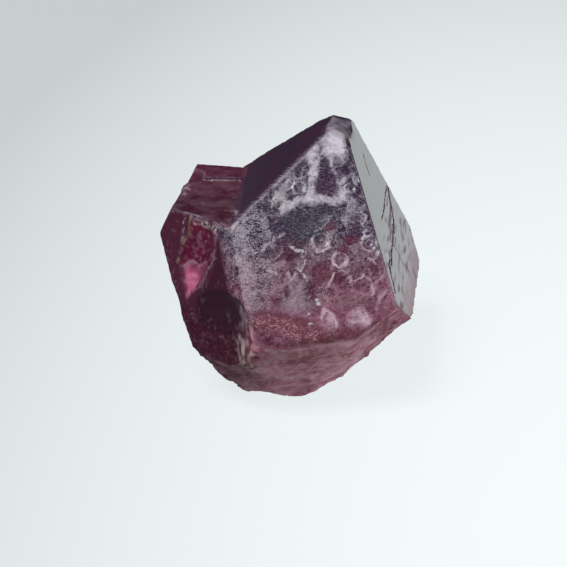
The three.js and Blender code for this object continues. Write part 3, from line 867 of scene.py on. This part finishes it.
# painted glints in the red band, most on its left part
threads = bandMask * (0.25 + ease(1.9, 0.0, places[:, 0]))
threads *= np.clip(0.9 + 2.2 * noiseAt(places, 0.5, 61), 0, 1.3)
coarser = 0.8 * bevel + 1.2 * rougher + belowBand + 0.7 * cleft + 0.6 * hazyRight + 0.8 * edgeOfBase
coarser += 0.15 * front * ease(0.5, -2.5, height)
duller = ridge + base + 0.45 * tipTop + 0.2 * rightHaze + 0.7 * lowerHaze + 0.7 * hazyRight
finish = {
    "frost": sum(amount * where for amount, where in frostLayers),
    "alongRidge": alongRidge / 10 + 0.5,
    "threads": threads + 0.15 * front,
    "grit": 0.55 * rougher + 0.4 * belowBand + 0.2 * bandMask + 0.3 * thumbHollow,
    "lines": lines + 0.3 * thumbHollow + 0.25 * base + 0.2 * lowFlank + 0.15 * ledgeTop,
    "clear": 1 - np.clip(coarser, 0, 1),
    "scratches": front * np.clip(windows * upper * 1.2, 0, 1),
    "weave": front * np.clip(0.3 + 0.7 * canvas - 0.3 * bandMask, 0, 1) * (1 - 0.6 * windows) + 0.4 * base,
    "specks": (0.20 * lowFlank + 0.3 * thumbHollow + 0.25 * leftSide + 0.15 * bandMask + 0.3 * ledgeTop
               + paintedTopGlints + 0.5 * zones["leftStrip"]),
    "fuzz": fuzz,
    "glint": glint * front * np.clip(0.45 + 1.2 * grain, 0, 0.8),
    "gloss": evenFlats + finishing["leftGloss"] * leftSide - duller,
}
for name, values in finish.items():
    layer = crystal.data.attributes.new(name, "FLOAT", "POINT")
    layer.data.foreach_set("value", np.clip(values, 0, 1).astype(np.float32))
for name, colours in (("tint", layered("deep", tintLayers)), ("veil", layered("frostCool", veilLayers))):
    layer = crystal.data.attributes.new(name, "FLOAT_COLOR", "POINT")
    opaque = np.concatenate([colours, np.ones((len(colours), 1))], 1)
    layer.data.foreach_set("color", opaque.astype(np.float32).ravel())
print("crystal coloured")


surface = {
    # strength of each pattern in the frost, and what is added to it
    "patterns": {"lines": (0.27, -0.055), "scratches": (0.12, 0.0), "weave": (0.8, -0.8),
                 "specks": (0.35, 0.0), "threads": (0.55, 0.0), "grit": (2.0, -1.0)},
    "hairWidth": 0.035,      # of the etched lines, as a part of their noise
    "fineHairWidth": 0.05,
    "fineHairs": 0.8,
    "scratchWidth": 0.02,
    "fringeFrost": 0.42,
    # colour of the painted highlights
    "glint": (0.9, 0.85, 0.88, 1),
    "smoothest": 0.08,       # roughness of polished glass, and what the rest adds to it
    "unpolished": 0.70,
    "clearPart": -0.55,
    "frostPart": 0.65,
    "bumpDepth": 0.000005,   # metres
    "bumpInDark": 0.35,
    "bumpInFrost": 0.9,
    "bumpOfHairs": 0.6,
    "bumpOnGloss": 0.04,
}


def treeTools(owner):
    nodes, links = owner.node_tree.nodes, owner.node_tree.links

    def maths(kind, *values):
        node = nodes.new("ShaderNodeMath")
        node.operation = kind
        for value, socket in zip(values, node.inputs):
            if isinstance(value, (int, float)):
                socket.default_value = value
            else:
                links.new(value, socket)
        return node.outputs[0]

    def spanned(value, low, high, start=0.0, end=1.0):
        node = nodes.new("ShaderNodeMapRange")
        node.interpolation_type = "SMOOTHSTEP"
        links.new(value, node.inputs["Value"])
        for name, number in (("From Min", low), ("From Max", high), ("To Min", start), ("To Max", end)):
            node.inputs[name].default_value = number
        return node.outputs["Result"]

    def mixed(factor, first, second, kind="RGBA"):
        node = nodes.new("ShaderNodeMix")
        node.data_type = kind
        places = (6, 7, 2) if kind == "RGBA" else (2, 3, 0)
        links.new(factor, node.inputs[0])
        for value, place in ((first, places[0]), (second, places[1])):
            if isinstance(value, (tuple, int, float)):
                node.inputs[place].default_value = value
            else:
                links.new(value, node.inputs[place])
        return node.outputs[places[2]]

    return nodes, links, maths, spanned, mixed


def crystalMaterial():
    material = bpy.data.materials.new("purpleSpinel")
    material.use_nodes = True
    nodes, links, maths, spanned, mixed = treeTools(material)
    shader = nodes["Principled BSDF"]
    shader.inputs["IOR"].default_value = glass["ior"]
    shader.inputs["Specular IOR Level"].default_value = glass["specularLevel"]
    shader.inputs["Transmission Weight"].default_value = glass["transmission"]
    volume = nodes.new("ShaderNodeVolumeAbsorption")
    volume.inputs["Color"].default_value = glass["absorb"]
    volume.inputs["Density"].default_value = glass["absorbDensity"]
    links.new(volume.outputs["Volume"], nodes["Material Output"].inputs["Volume"])
    place = nodes.new("ShaderNodeTexCoord")

    def read(name, output="Fac"):
        node = nodes.new("ShaderNodeAttribute")
        node.attribute_name = name
        return node.outputs[output]

    def noiseOf(size, detail=2.0, twist=0.0, stretch=(1, 1, 1)):
        scale = nodes.new("ShaderNodeMapping")
        scale.inputs["Scale"].default_value = [1000 * s for s in stretch]
        links.new(place.outputs["Object"], scale.inputs["Vector"])
        texture = nodes.new("ShaderNodeTexNoise")
        texture.inputs["Scale"].default_value = 1 / size
        texture.inputs["Detail"].default_value = detail
        texture.inputs["Distortion"].default_value = twist
        links.new(scale.outputs["Vector"], texture.inputs["Vector"])
        return texture.outputs["Fac"]

    def hairsOf(value, width):
        return spanned(maths("ABSOLUTE", maths("SUBTRACT", value, 0.5)), width, 0.0)

    hairs = hairsOf(noiseOf(1.0, 1, 1.5), surface["hairWidth"])
    fineHairs = hairsOf(noiseOf(0.45, 0.5, 1.0), surface["fineHairWidth"])
    hairs = maths("MAXIMUM", hairs, maths("MULTIPLY", fineHairs, surface["fineHairs"]))
    level, upright = noiseOf(0.12, 1, 0, (0.6, 0.6, 3)), noiseOf(0.12, 1, 0, (2.5, 1.5, 0.4))
    flecks = spanned(noiseOf(0.30, 4.0, 0.5), 0.50, 0.72)
    patterns = {
        "lines": hairs,
        "scratches": hairsOf(noiseOf(0.40, 2, 0.2, (0.5, 0.5, 4)), surface["scratchWidth"]),
        "weave": maths("ADD", level, upright),
        "specks": maths("MULTIPLY", flecks, spanned(noiseOf(0.9, 2.0), 0.38, 0.62)),
        "threads": maths("MAXIMUM", spanned(level, 0.56, 0.64), spanned(upright, 0.57, 0.65)),
        "grit": noiseOf(0.28, 4, 0.4),
    }
    streaks = nodes.new("ShaderNodeTexNoise")
    streaks.noise_dimensions = "1D"
    streaks.inputs["Scale"].default_value = 110
    streaks.inputs["Detail"].default_value = 2
    links.new(read("alongRidge"), streaks.inputs["W"])
    uneven = maths("MULTIPLY", streaks.outputs["Fac"], maths("MULTIPLY", noiseOf(0.20, 3, 0.6), 2.0))
    fringe = spanned(maths("MULTIPLY_ADD", maths("SUBTRACT", uneven, 0.5), 2.4, read("fuzz")), 0.35, 1.1)
    fringe = maths("MULTIPLY", fringe, spanned(read("fuzz"), 0.0, 0.25))

    amount = read("frost")
    for name, pattern in patterns.items():
        strength, added = surface["patterns"][name]
        amount = maths("MULTIPLY_ADD", read(name), maths("MULTIPLY_ADD", pattern, strength, added), amount)
    amount = maths("MAXIMUM", amount, maths("MULTIPLY", fringe, surface["fringeFrost"]))
    amount = maths("MINIMUM", maths("MAXIMUM", amount, 0.0), 1.0)
    colour = mixed(amount, read("tint", "Color"), read("veil", "Color"))
    # painted highlights mixed over the colour
    colour = mixed(read("glint"), colour, surface["glint"])
    links.new(colour, shader.inputs["Base Color"])
    matte = maths("SUBTRACT", 1.0, read("gloss"))
    coarse = maths("MULTIPLY_ADD", read("clear"), surface["clearPart"], surface["unpolished"])
    coarse = maths("MULTIPLY_ADD", amount, surface["frostPart"], coarse)
    links.new(maths("MULTIPLY_ADD", coarse, matte, surface["smoothest"]), shader.inputs["Roughness"])

    onGloss = surface["bumpOnGloss"]
    height = maths("MULTIPLY_ADD", hairs, surface["bumpOfHairs"], noiseOf(0.11, 3))
    inFrost = maths("MULTIPLY_ADD", amount, surface["bumpInFrost"], surface["bumpInDark"])
    height = maths("MULTIPLY", height, inFrost)
    height = maths("MULTIPLY", height, maths("MULTIPLY_ADD", matte, 1 - onGloss, onGloss))
    bump = nodes.new("ShaderNodeBump")
    bump.inputs["Strength"].default_value = 1.0
    bump.inputs["Distance"].default_value = surface["bumpDepth"]
    links.new(height, bump.inputs["Height"])
    links.new(bump.outputs["Normal"], shader.inputs["Normal"])
    return material


crystal.data.materials.append(crystalMaterial())
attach(crystal, "root")
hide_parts("spinel_crystal")
print("crystal finished")


# table and light
studio = {
    "floorHalf": 0.6,
    "floorLevel": -0.00002,
    "floorTint": (0.935, 1.0, 1.005, 1),
    "floorShade": 0.10,          # how much the table takes shadows
    "mirroredShade": 0.02,
    "glowMiddle": 0.013,         # metres behind the crystal's middle
    "middleGlow": 0.80,
    "glowAcross": 6.2,           # per metre, brighter to the right
    "glowAway": -1.6,            # per metre, darker away from the viewer
    "glowEdge": -160,            # per square metre, darker to the corners
    "leastGlow": 0.55,
    "horizonNear": 0.10,         # the table's glow fades out between these distances
    "horizonFar": 0.19,
    "mirroredGlow": 0.86,
    "leftShade": 0.05,           # how bright the table on the left is in the crystal's own reflections
    "shadeFrom": -0.011,         # and where it grows to its full glow on the right
    "shadeTo": 0.008,
    "shadeTurn": 0.1,
    "airGlow": 0.03,
    "airSeen": 0.7,
    "key": {"place": (-0.09, -0.13, 0.24), "size": 0.13, "power": 0.85, "aim": (0, 0, 0.006)},
}


def pointAt(lamp, target):
    lamp.rotation_euler = (Vector(target) - lamp.location).to_track_quat("-Z", "Y").to_euler()


def tableMaterial():
    material = bpy.data.materials.new("paleTable")
    material.use_nodes = True
    nodes, links, maths, spanned, mixed = treeTools(material)
    shader = nodes["Principled BSDF"]
    shader.inputs["Roughness"].default_value = 0.9
    shader.inputs["Specular IOR Level"].default_value = 0.0
    shader.inputs["Emission Color"].default_value = studio["floorTint"]
    seen = nodes.new("ShaderNodeLightPath").outputs["Is Camera Ray"]
    shades = studio["mirroredShade"], studio["floorShade"]
    mirroredPaint, seenPaint = [(shade, shade, shade, 1) for shade in shades]
    links.new(mixed(seen, mirroredPaint, seenPaint), shader.inputs["Base Color"])
    split = nodes.new("ShaderNodeSeparateXYZ")
    links.new(nodes.new("ShaderNodeTexCoord").outputs["Object"], split.inputs["Vector"])

    x, y = split.outputs["X"], maths("SUBTRACT", split.outputs["Y"], studio["glowMiddle"])
    foreshortened = maths("MULTIPLY", y, math.sin(math.radians(viewpoint["climb"])))
    spread = maths("ADD", maths("MULTIPLY", x, x), maths("MULTIPLY", foreshortened, foreshortened))
    glow = maths("MULTIPLY_ADD", x, studio["glowAcross"], studio["middleGlow"])
    glow = maths("MULTIPLY_ADD", y, studio["glowAway"], glow)
    glow = maths("MULTIPLY_ADD", spread, studio["glowEdge"], glow)
    glow = maths("MAXIMUM", glow, studio["leastGlow"])
    reach = maths("SQRT", maths("ADD", maths("MULTIPLY", x, x), maths("MULTIPLY", y, y)))
    fade = spanned(reach, studio["horizonNear"], studio["horizonFar"], studio["mirroredGlow"], 0.0)
    turned = maths("MULTIPLY_ADD", y, studio["shadeTurn"], x)
    behind = spanned(turned, studio["shadeFrom"], studio["shadeTo"], studio["leftShade"])
    mirroredGlow = maths("MULTIPLY", fade, behind)
    links.new(mixed(seen, mirroredGlow, glow, "FLOAT"), shader.inputs["Emission Strength"])
    return material


def setStage():
    bpy.ops.mesh.primitive_plane_add(size=2 * studio["floorHalf"], location=(0, 0, studio["floorLevel"]))
    floor = bpy.context.object
    floor.name = "paleTable"
    floor.data.materials.append(tableMaterial())

    world = bpy.data.worlds.new("studioAir")
    scene.world = world
    world.use_nodes = True
    nodes, links, _, _, mixed = treeTools(world)
    back = nodes["Background"]
    back.inputs["Color"].default_value = studio["floorTint"]
    seen = nodes.new("ShaderNodeLightPath").outputs["Is Camera Ray"]
    links.new(mixed(seen, studio["airGlow"], studio["airSeen"], "FLOAT"), back.inputs["Strength"])

    key = studio["key"]
    bpy.ops.object.light_add(type="AREA", location=key["place"])
    lamp = bpy.context.object
    lamp.name = "softbox"
    lamp.data.shape = "DISK"
    lamp.data.size = key["size"]
    lamp.data.energy = key["power"]
    pointAt(lamp, key["aim"])


setStage()
scene.view_settings.view_transform = "Standard"
print("studio ready")
